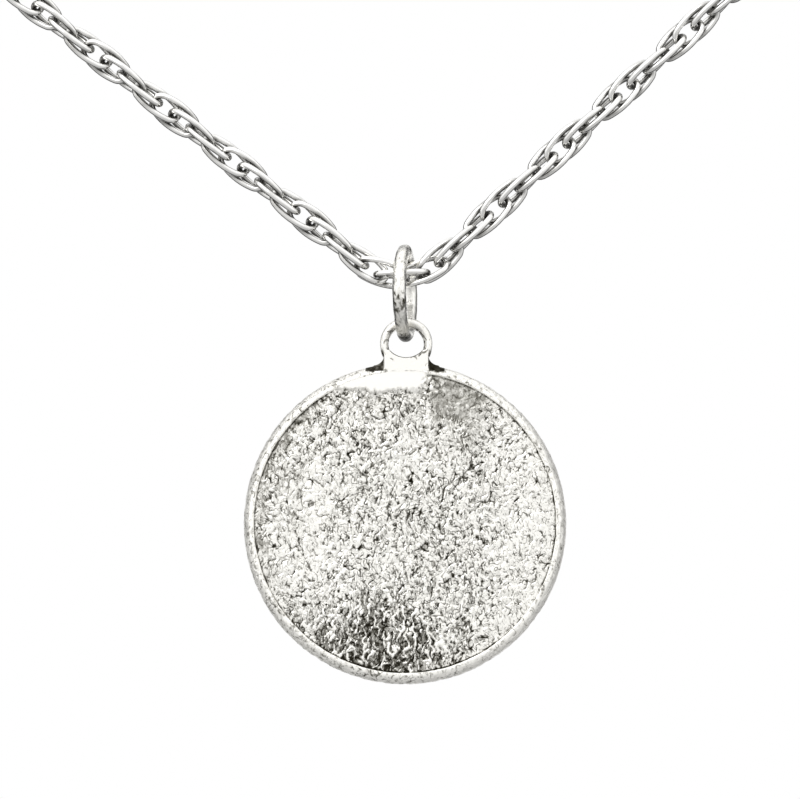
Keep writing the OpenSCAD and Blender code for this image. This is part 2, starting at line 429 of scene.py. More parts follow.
def antiqued_silver(name, ground, grain_scale, grain_depth, stroke_scale, cut, depth, metallic, gloss):
    """Cast silver: patina in its grain and strokes, patina and painted shade where the tone is low, rubbed
    bright where worn.
    """
    material, graph = new_material(name)
    graph.shader.inputs["Metallic"].default_value = metallic
    place = flowing_place(graph, 0.3, 1.6)
    grain = graph.noise(grain_scale, 1, 0.5, place=place)
    skin = graph.math("MULTIPLY_ADD", grain, grain_depth, ground - grain_depth / 2)
    cuts = 0.0
    for scale, width, share in STROKE_LAYERS:
        stroke = short_strokes(graph, place, stroke_scale * scale, width)
        cuts = graph.math("MAXIMUM", cuts, graph.math("MULTIPLY", stroke, cut * share))
    skin = graph.math("SUBTRACT", skin, cuts)
    hollow = graph.noise(stroke_scale * 1.3, 0, stretch=UPRIGHT, place=place)
    hollow = graph.ramp(hollow, [(0.52, 0.0), (0.66, 1.0)])
    skin = graph.math("SUBTRACT", skin, graph.math("MULTIPLY", hollow, cut * 0.45))
    to_bright = graph.math("SUBTRACT", 0.75, skin)
    skin = graph.math("ADD", skin, graph.math("MULTIPLY", to_bright, graph.attribute("worn")))
    shade = graph.math("MULTIPLY", graph.math("SUBTRACT", graph.attribute("tone"), 1.0), 0.4)
    level = graph.math("ADD", skin, shade)
    dull, glossy = gloss
    roughness = graph.ramp(level, [(0.22, 0.85), (0.32, dull), (0.55, glossy)])
    graph.finish_metal(graph.ramp(level, PATINA, 0.025), roughness, skin, depth)
    return material


# The chain

SIDE_RADIUS = LINK_END_RADIUS + SIDE_EXTRA
END_CENTRE = ARC_RUN * SIDE_EXTRA
SIDE_CENTRE = ARC_RISE * SIDE_EXTRA
BEND_ARC = BEND_RADIUS * ARM_SLOPE
TOP_RADIUS = ((NECKLACE_LENGTH / 2 - BEND_ARC + BEND_RADIUS * math.tan(ARM_SLOPE))
              / (math.tan(ARM_SLOPE) + math.pi - ARM_SLOPE))
ARM = (TOP_RADIUS - BEND_RADIUS) * math.tan(ARM_SLOPE)
LOOP_HEIGHT = (BEND_RADIUS * (1 - math.cos(ARM_SLOPE)) + ARM * math.sin(ARM_SLOPE)
               + TOP_RADIUS * math.cos(ARM_SLOPE))


def half_route(distance):
    """Across, up and slope at a distance from the lowest point: a bend, a straight arm and a large arc."""
    if distance <= BEND_ARC:
        slope = distance / BEND_RADIUS
        return BEND_RADIUS * math.sin(slope), BEND_RADIUS * (1 - math.cos(slope)), slope
    along = distance - BEND_ARC
    if along <= ARM:
        return (BEND_RADIUS * math.sin(ARM_SLOPE) + along * math.cos(ARM_SLOPE),
                BEND_RADIUS * (1 - math.cos(ARM_SLOPE)) + along * math.sin(ARM_SLOPE), ARM_SLOPE)
    slope = ARM_SLOPE + (along - ARM) / TOP_RADIUS
    return TOP_RADIUS * math.sin(slope), LOOP_HEIGHT - TOP_RADIUS * math.cos(slope), slope


def leaned(across, up):
    """Leans a point about the middle of the top arc and moves the loop's top to the origin."""
    x = across * math.cos(LEAN) - (up - LOOP_HEIGHT) * math.sin(LEAN)
    z = across * math.sin(LEAN) + (up - LOOP_HEIGHT) * math.cos(LEAN) - TOP_RADIUS
    return x, z


def link_place(k):
    """The matrix, in millimetres, that puts a link k places from the middle one on the route."""
    side = (k > 0) - (k < 0)
    near = min(abs(k), BEND_LINKS)
    far = max(abs(k) - BEND_LINKS, 0)
    across, up, slope = half_route(near * BEND_PITCH + far * PITCH)
    x, z = leaned(-across if k < 0 else across, up)
    slope = (-slope if k < 0 else slope) + LEAN
    turn = math.radians(90 + side * (near * BEND_TURN + far * LINK_TURN))
    lift, shift = BEND_SEAT[abs(k)] if abs(k) < len(BEND_SEAT) else (0, 0)
    return (Matrix.Translation((x, 0, z)) @ Matrix.Rotation(-slope, 4, "Y")
            @ Matrix.Translation((0, side * shift, lift)) @ Matrix.Rotation(turn, 4, "X"))


def link_line():
    """Centre line of one oval link and its outward normals, long axis X and short axis Z."""
    corner = math.pi / 2 - math.atan2(ARC_RUN, ARC_RISE)
    line = []
    for half in (1, -1):
        for t in np.linspace(-corner, corner, LINK_END_STEPS, endpoint=False):
            line.append((half * (END_CENTRE + LINK_END_RADIUS * math.cos(t)),
                         half * LINK_END_RADIUS * math.sin(t), half * math.cos(t), half * math.sin(t)))
        for t in np.linspace(corner, math.pi - corner, LINK_SIDE_STEPS, endpoint=False):
            line.append((half * SIDE_RADIUS * math.cos(t), half * (SIDE_RADIUS * math.sin(t) - SIDE_CENTRE),
                         half * math.cos(t), half * math.sin(t)))
    return np.array(line)


def link_mesh():
    """Points and quads of one link's round wire."""
    line = link_line()
    angle = full_turn(WIRE_SIDES)
    out = np.cos(angle) * WIRE / 2
    up = np.sin(angle) * WIRE / 2
    x = line[:, None, 0] + line[:, None, 2] * out
    z = line[:, None, 1] + line[:, None, 3] * out
    y = np.broadcast_to(up, x.shape)
    points = np.stack([x, y, z], axis=-1).reshape(-1, 3)
    return points, tube_faces(len(line), WIRE_SIDES)


def moved(points, place):
    """Points put in their place by a matrix."""
    m = np.array(place)
    return points @ m[:3, :3].T + m[:3, 3]


def tarnish_and_shade_between_links(k, points):
    """0 where a link's skin is close to its neighbours' wire, where tarnish and painted shade darken it, and
    1 away from them.
    """
    line = link_line()
    line = np.stack([line[:, 0], 0 * line[:, 0], line[:, 1]], axis=-1)
    near = range(k - SHADE_AND_TARNISH_LINKS, k + SHADE_AND_TARNISH_LINKS + 1)
    others = np.concatenate([moved(line, link_place(n)) for n in near if n != k])
    gap = np.linalg.norm(points[:, None, :] - others[None, :, :], axis=-1).min(axis=1) - WIRE / 2
    return smooth_step(0.0, SHADE_AND_TARNISH_REACH, gap)


def chain(name, first, last, material):
    """A run of links as one piece. Away from the bend each link is rolled a little, by chance."""
    link_points, link_faces = link_mesh()
    points = []
    faces = []
    tone = []
    for k in range(first, last + 1):
        place = link_place(k)
        if abs(k) > STEADY_LINKS:
            place = place @ Matrix.Rotation(math.radians(rng.normal(0, LOOSE_ROLL)), 4, "X")
        faces.append(link_faces + len(points) * len(link_points))
        points.append(moved(link_points, place))
        # Tarnish and painted shade where a link lies close to its neighbours
        tone.append(tarnish_and_shade_between_links(k, points[-1]))
    piece = new_mesh(name, np.concatenate(points), np.concatenate(faces).tolist(), tone=np.concatenate(tone))
    piece.data.materials.append(material)
    return piece


# The jump ring, whose angles start on its far side from the photo and go over its top

def jump_ring(material):
    """A soldered ring: round wire with the lump of its join on top, dented and a little uneven."""
    radius = (RING_OUTER - RING_WIRE) / 2
    centre = (ring_low + ring_high) / 2
    centre.z = ring_low.z + RING_OUTER / 2
    u = full_turn(RING_STEPS)[:, None]
    v = full_turn(RING_SIDES)[None, :]
    dents = LatticeNoise(3)
    around = u * radius
    across = v * RING_WIRE / 2
    outer = np.clip(np.cos(v), 0, 1)
    inner = np.clip(-np.cos(v), 0, 1)

    rough = (RING_DENT * dents(around * 1.1 + 40, across * 1.3 + 9)
             + RING_FINE_DENT * dents(around * 2.6, across * 2.2))
    join = bell(u, JOIN_ANGLE, JOIN_REACH)
    join_lumps = dents(around * 2.3 + 5, across * 2.5)
    swell = join * (JOIN_SWELL + JOIN_OUTWARD * outer + JOIN_LUMPS * join_lumps)
    seam = -SEAM_DEPTH * bell(u, JOIN_ANGLE + SEAM_FROM_JOIN, SEAM_REACH)
    wire = RING_WIRE / 2 + RING_FULLNESS + rough + swell + seam
    out = radius + wire * np.cos(v)
    side = wire * np.sin(v)
    x = centre.x + out * np.cos(u) * math.sin(RING_TURN) + side * math.cos(RING_TURN)
    y = centre.y + out * np.cos(u) * math.cos(RING_TURN) - side * math.sin(RING_TURN)
    z = centre.z + out * np.sin(u)

    # Painted light: the ring's far half is painted lighter than its near half
    lit_rear = smooth_step(-0.2, 0.2, np.cos(u))
    # Painted shade: the outer side of the ring's lowest part, where it lies in the eye, is painted dark
    shade_in_eye = smooth_step(0.42, 0.26, np.abs(u - LOWEST_ANGLE - 0.05)) * outer ** 0.6
    flame_patches = smooth_step(-0.1, 0.3, dents(around * 2.0, across * 3))
    flame_mark = bell(u, FLAME_MARK_ANGLE, 0.25) * (0.4 + flame_patches)
    # Painted shade: dark on both sides of the join, where the links sit on the ring, most on the wire's
    # inner side
    crevice = bell(np.abs(u - JOIN_ANGLE), 0.36, 0.08) * (0.4 + 0.6 * inner)
    # Painted highlight: the join's lump is painted lighter where its lumps stand out, with darker lines
    # between them
    lump_highlight = smooth_step(0.1, 0.5, np.abs(join_lumps))
    # Tone: painted light on the far half and the join's lump, painted shade in the eye and beside the join,
    # and the flame's own dark mark
    tone = (0.76 + 0.24 * lit_rear - 1.7 * shade_in_eye - 0.5 * flame_mark - 0.6 * crevice
            + join * (0.6 * lump_highlight + 0.05))
    piece = new_mesh("ring_wire", np.stack([x, y, z], axis=-1).reshape(-1, 3),
                     tube_faces(RING_STEPS, RING_SIDES).tolist(), tone=tone)
    piece.data.materials.append(material)
    return piece


# The medallion

def disc_grid(radius):
    """Points of a square grid inside a circle, and the quads between them."""
    count = int(radius / GRID_STEP) + 1
    ticks = np.arange(-count, count + 1) * GRID_STEP
    across, up = np.meshgrid(ticks, ticks, indexing="ij")
    inside = np.hypot(across, up) <= radius
    index = np.full(across.shape, -1)
    index[inside] = np.arange(inside.sum())
    a, b, c, d = index[:-1, :-1], index[1:, :-1], index[1:, 1:], index[:-1, 1:]
    whole = (a >= 0) & (b >= 0) & (c >= 0) & (d >= 0)
    quads = np.stack([a[whole], b[whole], c[whole], d[whole]], axis=-1)
    return across[inside], up[inside], quads


def on_disc(x, z, depth):
    """Points of the medallion from places across and above its middle and towards its front."""
    return np.stack([x + disc_centre.x, depth, z + disc_centre.z], axis=-1).reshape(-1, 3)


def chased_strokes(x, z, scale, width, gate_low, seed):
    """Short tapered strokes, 1 on a stroke and 0 off it: pieces of a noise's middle contour."""
    line = LatticeNoise(seed)
    gate = LatticeNoise(seed + 100)
    upright = 0.7
    step = 0.02

    def drawn(u, v):
        return line(u * scale, v * scale * upright)

    value = drawn(x, z)
    slope = np.hypot(drawn(x + step, z) - value, drawn(x, z + step) - value) / step + 0.3 * scale
    opened = smooth_step(gate_low, gate_low + 0.5, gate(x * scale + 9, z * scale * upright))
    half_width = width * opened + LEAST_WIDTH
    return smooth_step(1.0, 0.3, np.abs(value) / slope / half_width) * smooth_step(0.0, 0.3, opened)


def flame_ridges(x, z, rough_z, warp):
    """Where the dark flame-like patch is, and its ridges, which fan out upward."""
    from_middle = np.hypot((x - FLAME_X) / 1.45, (z - FLAME_Z) * 1.15)
    patch = smooth_step(7.5, 3.0, from_middle + 2.2 * warp(x * 0.4, z * 0.3 + 5))
    fan = x + 0.25 * (z + 12) * (x + 1.6) / 6 + 0.35 * warp(x * 1.2, z * 1.2 + 40)
    tall = chased_strokes(fan, rough_z * 0.45, scale=1.0, width=0.13, gate_low=-0.3, seed=14)
    thin = chased_strokes(fan + 20, rough_z * 0.8, scale=1.9, width=0.1, gate_low=-0.2, seed=15)
    return patch, np.maximum(tall, 0.8 * thin)


def crumple(x, z):
    """The back's cast surface: height in millimetres, tone, and where the flame-like ridges are."""
    warp = LatticeNoise(11)
    lumps = LatticeNoise(12)
    rough_x = x + WANDER * warp(x * 0.3, z * 0.3) + FINE_WANDER * warp(x * 1.3 + 31, z * 1.3)
    rough_z = z + WANDER * warp(x * 0.3 + 57, z * 0.3 + 13) + FINE_WANDER * warp(x * 1.3, z * 1.3 + 71)
    long_cuts = chased_strokes(rough_x, rough_z, scale=0.85, width=0.085, gate_low=0.0, seed=50)
    short_cuts = chased_strokes(rough_x, rough_z, scale=1.5, width=0.075, gate_low=0.0, seed=60)
    cuts = np.maximum(long_cuts, short_cuts)
    hollows = smooth_step(0.25, 0.6, lumps(rough_x * 1.3 + 60, rough_z))
    height = LUMP_HEIGHT * np.abs(lumps(rough_x * 0.9, rough_z * 0.8)) ** 0.7 + CUT_DEPTH * (1 - cuts)
    tone = 1 - CUT_SHADE * cuts - HOLLOW_SHADE * hollows

    flame, ridge = flame_ridges(x, z, rough_z, warp)
    flame_tone = 0.46 + 0.54 * ridge - 0.3 * cuts * (1 - ridge)
    height = height * (1 - 0.5 * flame) + FLAME_HEIGHT * flame * ridge
    return height, tone * (1 - flame) + flame * flame_tone, flame * ridge


# Dull grey patches at the top of the back. Columns: strength, middle across and up, reach across and up
GREY_PATCHES = [
    (1.0, 5, 13.2, 4, 2.646),
    (0.4, 5, 9.5, 4.472, 2.828),
    (0.4, -5, 12, 3.162, 1.414)]


def lip_shadow_and_dull_patches(x, z, cloud):
    """Where the back's skin is dull and grey: its left edge, where the lip's shadow is painted, a calm place
    there and patches at its top.
    """
    # Painted shadow of the lip along the left of the field
    edge = smooth_step(12.6, 14.6, np.hypot(x, z)) * smooth_step(-5, -10, x) * smooth_step(-9, -4, z)
    calm = spot(x, z, -11.5, 2, 3, 6.325)
    patches = sum(strength * spot(x, z, *place) for strength, *place in GREY_PATCHES)
    uneven = 1 + 0.9 * cloud(x * 0.7, z * 0.7 + 30) + 0.6 * cloud(x * 2.7, z * 2.7)
    return np.clip(np.maximum.reduce([0.6 * edge, 0.4 * calm, patches]) * uneven, 0, 1)


def smooth_land(x, z, cloud):
    """The raised land under the eye and the smooth skin on and around it, both with ragged edges."""
    wander = 0.3 * cloud(x * 0.8, z * 0.4) + 0.2 * cloud(x * 2.0, z * 2.0)
    ragged = 0.5 * cloud(x * 3.1, z * 2.1 + 17)
    above = z - LAND_HEIGHT + wander
    past_right = x - LAND_RIGHT - 0.5 * (z - LAND_HEIGHT) + wander + ragged
    in_left = smooth_step(-LAND_LEFT - 0.9, -LAND_LEFT + 0.5, x)
    land = smooth_step(-0.2, 0.2, above + 0.6 * ragged) * smooth_step(0.4, -0.4, past_right) * in_left
    smooth = smooth_step(-0.1, 0.1, above + ragged) * smooth_step(0.2, -0.2, past_right) * in_left
    return land, smooth


def edge_shadow(x, z, cloud):
    """The dark line along the lip, stronger towards the lower right and broken by noise."""
    from_middle = np.hypot(x, z) + 0.04 * cloud(x * 1.3 + 40, z * 1.3)
    unbroken = smooth_step(-0.4, 0.2, cloud(x * 0.5 + 9, z * 0.5))
    return (smooth_step(LIP_RADIUS - 0.2, LIP_RADIUS - 0.08, from_middle)
            * (0.3 + 0.5 * smooth_step(-6, 10, x - 0.8 * z) * unbroken))


def back_field(material):
    """The sunk field of the back, with the smooth land under the eye."""
    x, z, quads = disc_grid(LIP_RADIUS + UNDER_LIP)
    height, tone, flame_ridge = crumple(x, z)
    cloud = LatticeNoise(21)
    shadow_and_dull = lip_shadow_and_dull_patches(x, z, cloud)
    land, smooth = smooth_land(x, z, cloud)
    bright = np.maximum(smooth_step(5, 13, x), spot(x, z, 0.5, 6.5, 2.236, 2.236))
    pale = spot(x, z, -10, 1, 3.742, 7.746)

    tone = (tone + 0.12 * cloud(x * 0.2 + 3, z * 0.2 + 8) + 0.08 * cloud(x * 0.5, z * 0.5)
            + 0.09 * cloud(x * 1.1, z * 0.8 + 60) + 0.1 * bright)
    grey_tone = 0.1 + 0.16 * cloud(x * 1.6 + 0.4 * z, z * 2.0)
    # Painted shadow at the left edge and dull grey patches at the top, in a grey of their own
    tone = tone * (1 - 0.8 * shadow_and_dull) + 0.8 * shadow_and_dull * grey_tone
    tone = tone * (1 - smooth) + smooth - 1.1 * edge_shadow(x, z, cloud) * (1 - smooth)
    worn = np.maximum.reduce([smooth, 0.5 * flame_ridge, 0.66 * shadow_and_dull, 0.2 * bright, 0.42 * pale])

    relief = height * (1 - 0.5 * shadow_and_dull) * (1 - 0.6 * smooth_step(13.2, 15.0, np.hypot(x, z)))
    level = BACK_LEVEL + relief * (1 - land) + land * (disc_half - LAND_BELOW_LIP - BACK_LEVEL)
    piece = new_mesh("medallion_back", on_disc(x, z, -level), quads.tolist(), tone=tone, worn=worn)
    piece.data.materials.append(material)
    return piece


# The eight staves. Columns: turn, number of cross bars, where the bars start, half width of a bar,
# height of the bow, its radius, whether it opens outward, and the end
STAVES = [
    (0, 3, 3.6, 1.2, 9.0, 1.6, True, "fork"),
    (45, 2, 4.4, 1.3, 9.6, 1.5, False, "tee"),
    (90, 3, 4.0, 1.2, 10.2, 1.5, True, "fork"),
    (135, 2, 4.6, 1.4, 8.6, 1.4, True, "trident"),
    (180, 4, 3.8, 1.2, 9.9, 1.6, True, "tee"),
    (225, 2, 4.4, 1.3, 9.0, 1.5, False, "trident"),
    (270, 3, 4.0, 1.4, 9.4, 1.5, True, "fork"),
    (315, 2, 4.8, 1.2, 9.8, 1.5, False, "tee")]


def stave_strokes(bars, bars_start, bar_half, bow_height, bow_radius, outward, end):
    """The line segments of one stave, pointing up, before it is turned."""
    strokes = [((0, 0), (0, STAVE))]
    for i in range(bars):
        height = bars_start + i * BAR_GAP
        strokes.append(((-bar_half, height), (bar_half, height)))
    begin = math.pi if outward else 0
    bow = []
    for i in range(BOW_STEPS + 1):
        angle = begin + math.pi * i / BOW_STEPS
        bow.append((bow_radius * math.cos(angle), bow_height + bow_radius * math.sin(angle)))
    strokes += list(zip(bow[:-1], bow[1:]))
    if end == "fork":
        root = STAVE - FORK_START
        for side in (-1, 1):
            tip = (side * FORK_LENGTH * math.sin(FORK_SPREAD), root + FORK_LENGTH * math.cos(FORK_SPREAD))
            strokes.append(((0, root), tip))
    if end == "trident":
        root = STAVE - TRIDENT_DEPTH
        strokes.append(((-END_HALF, root), (END_HALF, root)))
        for side in (-END_HALF, END_HALF):
            strokes.append(((side, root), (side, STAVE)))
    if end == "tee":
        strokes.append(((-END_HALF, STAVE - LINE / 2), (END_HALF, STAVE - LINE / 2)))
    return strokes


def stroke_distance(x, z, start, end):
    """Distance of each point from one line segment."""
    run = np.subtract(end, start)
    t = np.clip(((x - start[0]) * run[0] + (z - start[1]) * run[1]) / (run @ run), 0, 1)
    return np.hypot(x - start[0] - t * run[0], z - start[1] - t * run[1])


def figure_distance(x, z):
    """Distance of each point from the middle of the figure's nearest line, as if all were equally wide."""
    ring_middle = FIGURE_RING + FIGURE_RING_HALF
    nearest = np.abs(np.hypot(x, z) - ring_middle) + LINE / 2 - FIGURE_RING_HALF
    for turn, *stave in STAVES:
        angle = math.radians(turn)
        u = x * math.cos(angle) + z * math.sin(angle)
        v = -x * math.sin(angle) + z * math.cos(angle)
        for start, end in stave_strokes(*stave):
            nearest = np.minimum(nearest, stroke_distance(u, v, start, end))
    return nearest


def front_field(material):
    """The front: a hammered, darkened ground with the raised way-finding sign and its ring."""
    x, z, quads = disc_grid(LIP_RADIUS + UNDER_LIP)
    # The figure is drawn as it is seen from the front, where the frame's +X points to the left
    distance = figure_distance(-x, z)
    raised = smooth_step(LINE / 2 + 0.07, LINE / 2 - 0.13, distance)
    crown = np.clip(1 - distance / (LINE / 2), 0, 1)
    hammer = LatticeNoise(31)
    fine = LatticeNoise(32)
    ground = HAMMER_DEPTH * np.abs(hammer(x * 1.1, z * 1.1)) + GRAIN_DEPTH * fine(x * 2.4, z * 2.4)
    top = RELIEF - CROWN + CROWN * crown ** 0.5 + GRAIN_DEPTH / 2 * fine(x * 1.3 + 9, z * 1.3)
    level = FRONT_LEVEL + ground * (1 - raised) + top * raised
    from_line = smooth_step(LINE / 2, LINE / 2 + 0.9, distance)
    tone = (0.10 + 0.34 * from_line + 1.6 * ground) * (1 - raised) + (0.62 + 0.35 * crown) * raised
    outward = quads[:, ::-1].tolist()
    piece = new_mesh("medallion_front", on_disc(x, z, level), outward, tone=tone, worn=0.6 * raised)
    piece.data.materials.append(material)
    return piece


def rim_profile():
    """Radius and depth of the rim's cut, from inside the back's lip, round the edge, to the front."""
    lip = [(LIP_RADIUS + 0.02, 0.5), (LIP_RADIUS, disc_half - 0.12), (LIP_RADIUS + 0.03, disc_half - 0.04),
           (LIP_RADIUS + LIP_BEVEL, disc_half), (LIP_TOP - LIP_BEVEL, disc_half)]
    bulge_radius = (disc_half ** 2 + EDGE_BULGE ** 2) / (2 * EDGE_BULGE)
    bulge_middle = disc_radius - bulge_radius
    sweep = math.asin(disc_half / bulge_radius) - 0.02
    edge = []
    for angle in np.linspace(-sweep, sweep, EDGE_STEPS):
        edge.append((bulge_middle + bulge_radius * math.cos(angle), bulge_radius * math.sin(angle)))
    back_lip = [(radius, -depth) for radius, depth in lip]
    return np.array(back_lip + edge + lip[::-1])


def rim(material):
    """The rounded side wall and both lips, rough from the casting."""
    profile = rim_profile()
    flat_radius = profile[None, :, 0]
    depth = profile[None, :, 1]
    angle = full_turn(RIM_STEPS)[:, None]
    around = angle * LIP_RADIUS
    rough = LatticeNoise(41)
    wall = smooth_step(LIP_TOP, LIP_TOP + 0.3, flat_radius)
    dents = (WALL_DENT * np.abs(rough(around * 0.9 + 7, depth * 1.1))
             + WALL_FINE_DENT * np.abs(rough(around * 2.4, depth * 2.2)))
    lip_wander = LIP_WANDER * rough(around * 0.5 + 90, 3) + LIP_FINE_WANDER * rough(around * 1.7, 50)
    radius = flat_radius - wall * dents + (1 - wall) * lip_wander
    x = radius * np.sin(angle)
    z = radius * np.cos(angle)
    points = on_disc(x, z, np.broadcast_to(depth, radius.shape))

    # Painted shade on the outer wall, stronger on the left; the left is also kept less worn, which darkens
    # it further
    left = smooth_step(0.3, -0.5, np.sin(angle) + 0.2 * np.cos(angle))
    wall_shade = smooth_step(LIP_TOP - 0.12, LIP_TOP + 0.05, flat_radius) * (0.01 + 0.03 * left)
    # Painted shadow on the rim in the corners beside the eye's neck
    from_neck = np.abs(x - EYE_SHIFT)
    by_neck = smooth_step(NECK_HALF - 0.2, NECK_HALF, from_neck) * smooth_step(4.2, 3.2, from_neck) * (z > 0)
    neck_shadow = by_neck * smooth_step(0.9, -0.3, depth + 0.5 * rough(around * 1.5, depth * 1.5 + 20)) * wall
    on_lip = smooth_step(LIP_RADIUS + 0.02, LIP_RADIUS + 0.12, flat_radius) * (1 - 0.8 * wall)
    film = on_lip * (0.10 + 0.45 * np.abs(rough(around * 1.3 + 11, flat_radius * 3.0)))
    # Tone: the wall's dents and the lip's film are the metal's own; the wall's shade and the neck's shadow
    # are painted
    tone = 1 - 0.55 * wall * dents - wall_shade - film - 1.1 * neck_shadow
    worn = 0.5 - 0.15 * left * wall - 0.25 * neck_shadow
    quads = tube_faces(RIM_STEPS, len(profile), closed=False)
    piece = new_mesh("medallion_rim", points, quads.tolist(), tone=tone, worn=worn)
    piece.data.materials.append(material)
    return piece


def apply_modifiers(piece):
    """Keeps what a piece's modifiers make as its own mesh."""
    graph = bpy.context.evaluated_depsgraph_get()
    graph.update()
    mesh = bpy.data.meshes.new_from_object(piece.evaluated_get(graph))
    piece.modifiers.clear()
    piece.data = mesh


def cast_copy(name, shape, voxel, passes):
    """A piece made from a solid, evenly meshed and smoothed, and its points' places in millimetres."""
    mesh = bpy.data.meshes.new(name)
    shape.to_mesh(mesh)
    shape.free()
    piece = bpy.data.objects.new(name, mesh)
    bpy.context.scene.collection.objects.link(piece)
    remesh = piece.modifiers.new("cast", "REMESH")
    remesh.mode = "VOXEL"
    remesh.voxel_size = voxel * MM
    soften = piece.modifiers.new("soften", "SMOOTH")
    soften.factor = 0.5
    soften.iterations = passes
    apply_modifiers(piece)
    piece.data.shade_smooth()
    piece.data.materials.clear()
    places = np.empty(len(piece.data.vertices) * 3)
    piece.data.vertices.foreach_get("co", places)
    return piece, places.reshape(-1, 3) / MM


def welded(node):
    """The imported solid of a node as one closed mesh."""
    shape = bmesh.new()
    shape.from_mesh(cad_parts[node].data)
    bmesh.ops.remove_doubles(shape, verts=shape.verts, dist=WELD_GAP * MM)
    return shape


def disc_top(shape, half_width):
    """Cuts away all of the medallion but what stands above its disc, near the middle."""
    bottom = disc_centre + Vector((0, 0, LIP_RADIUS + 0.1))
    side = Vector((half_width, 0, 0))
    cuts = ((bottom, (0, 0, -1)), (disc_centre - side, (-1, 0, 0)), (disc_centre + side, (1, 0, 0)))
    for place, direction in cuts:
        every = shape.verts[:] + shape.edges[:] + shape.faces[:]
        section = bmesh.ops.bisect_plane(shape, geom=every, plane_co=place * MM, plane_no=direction,
                                         clear_outer=True)
        rim_edges = [part for part in section["geom_cut"] if isinstance(part, bmesh.types.BMEdge)]
        bmesh.ops.holes_fill(shape, edges=rim_edges)
    return shape


def eye(material):
    """The eye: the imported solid's top, its edges softened as a casting's are."""
    shape = disc_top(welded("medallion"), EYE_KEPT_HALF)
    piece, places = cast_copy("medallion_eye", shape, voxel=0.075, passes=5)
    across = places[:, 0] - disc_centre.x - EYE_SHIFT
    depth = places[:, 1]
    above = places[:, 2] - disc_centre.z - disc_radius
    from_middle = np.hypot(across, above - EYE_HEIGHT)
    from_seat = np.abs(np.hypot(across, above - SEAT_HEIGHT) - SEAT_RADIUS)

    # Painted shadow in the corners where the eye's neck meets the rim
    corner = (smooth_step(NECK_HALF - 0.1, NECK_HALF + 0.15, np.abs(across)) * smooth_step(1.9, 0.6, above)
              * smooth_step(0.9, -0.3, depth + 0.5 * LatticeNoise(93)(above * 1.5, depth * 1.5)))
    crook = smooth_step(0.14, 0.05, from_seat) * smooth_step(-1.0, -1.9, above - SEAT_HEIGHT)
    nick = chased_strokes(across, above, scale=0.9, width=0.16, gate_low=0.0, seed=91)
    pitted = 0.35 + 0.65 * smooth_step(0.0, 0.3, LatticeNoise(92)(across * 2.5, above * 2.5))
    # Painted shadow of the hole's inner wall along its right edge, pitted here and there
    right = smooth_step(0.2, 1.2, across) * smooth_step(-1.6, -1.2, above - EYE_HEIGHT)
    hole_shadow = smooth_step(0.13, 0.05, np.abs(from_middle - EYE_HOLE - 0.03)) * right * pitted
    upper = above > EYE_HEIGHT - 1.2
    bevel_line = smooth_step(0.09, 0.03, np.abs(from_middle - EYE_BEVEL)) * upper * pitted
    dark = np.maximum.reduce([corner, crook, 0.7 * nick, 0.8 * hole_shadow, 0.5 * bevel_line])
    point_value(piece.data, "tone", 1 - dark)
    point_value(piece.data, "worn", 0.7 * (1 - dark))
    piece.data.materials.append(material)
    return piece


def clasp(material):
    """The plain fastening, its edges rounded by wear and its middle a little tarnished."""
    piece, places = cast_copy("clasp_body", welded("clasp"), voxel=0.07, passes=14)
    middle = (clasp_low.z + clasp_high.z) / 2
    from_edge = np.minimum((clasp_high.z - clasp_low.z) / 2 - np.abs(places[:, 2] - middle), 1.5)
    point_value(piece.data, "tone", 1 - 0.35 * smooth_step(0.4, 1.5, from_edge))
    piece.data.materials.append(material)
    return piece


# Floor, light and camera. Distances are in metres, and the sensor's size is in millimetres

WHITE = (1, 1, 1, 1)
FLOOR_WHITE = (0.97, 0.97, 0.97, 1)
FLOOR_GLOW = 0.16
FLOOR_HALF = 3.0
FLOOR_DROP = 0.1
STUDIO_STRENGTH = 1.22
CAMERA_DISTANCE = 0.6
PHOTO_WIDTH = 0.080
CAMERA_HEIGHT = math.radians(-7)
SENSOR = 36
KEY_FROM_MIDDLE = Vector((-0.25, -0.5, 0.4))
KEY_SIZE = 0.5
KEY_POWER = 1.6

# The middle of the photo, in millimetres from the disc's middle
PHOTO_MIDDLE = Vector((-0.5, 0, 12.45))

# What the metal mirrors. The belt's places run from the photo's side at 0 to the far side at 1, and
# those of the fall and the overhead light from below to above. Columns: place, grey
BELT = [(0.0, 0.82), (0.06, 0.86), (0.12, 1.0), (0.3, 0.97), (0.45, 0.86), (0.58, 0.55), (0.65, 0.06),
        (0.91, 0.04), (0.95, 0.9), (1.0, 1.0)]
FALL = [(0.05, 0.42), (0.35, 0.6), (0.5, 0.9), (0.63, 1.0), (0.68, 0.5), (0.73, 1.0)]
OVERHEAD = [(0.8, 0.0), (0.88, 0.95)]


def pale_floor():
    """A wide pale floor below the pendant, which the metal doesn't mirror."""
    mesh = bpy.data.meshes.new("floor")
    corners = [(-FLOOR_HALF, -FLOOR_HALF, 0), (FLOOR_HALF, -FLOOR_HALF, 0),
               (FLOOR_HALF, FLOOR_HALF, 0), (-FLOOR_HALF, FLOOR_HALF, 0)]
    mesh.from_pydata(corners, [], [(0, 1, 2, 3)])
    floor = bpy.data.objects.new("floor", mesh)
    floor.location = (0, 0, disc_low.z * MM - FLOOR_DROP)
    bpy.context.scene.collection.objects.link(floor)
    material, graph = new_material("floor_paint")
    graph.shader.inputs["Base Color"].default_value = FLOOR_WHITE
    graph.shader.inputs["Roughness"].default_value = 0.9
    graph.shader.inputs["Emission Color"].default_value = WHITE
    graph.shader.inputs["Emission Strength"].default_value = FLOOR_GLOW
    floor.data.materials.append(material)
    floor.visible_glossy = False


def half_range(graph, source):
    """Brings a value from -1 to 1 into 0 to 1."""
    spread = graph.nodes.new("ShaderNodeMapRange")
    spread.inputs["From Min"].default_value = -1
    graph.links.new(source, spread.inputs["Value"])
    return spread.outputs["Result"]


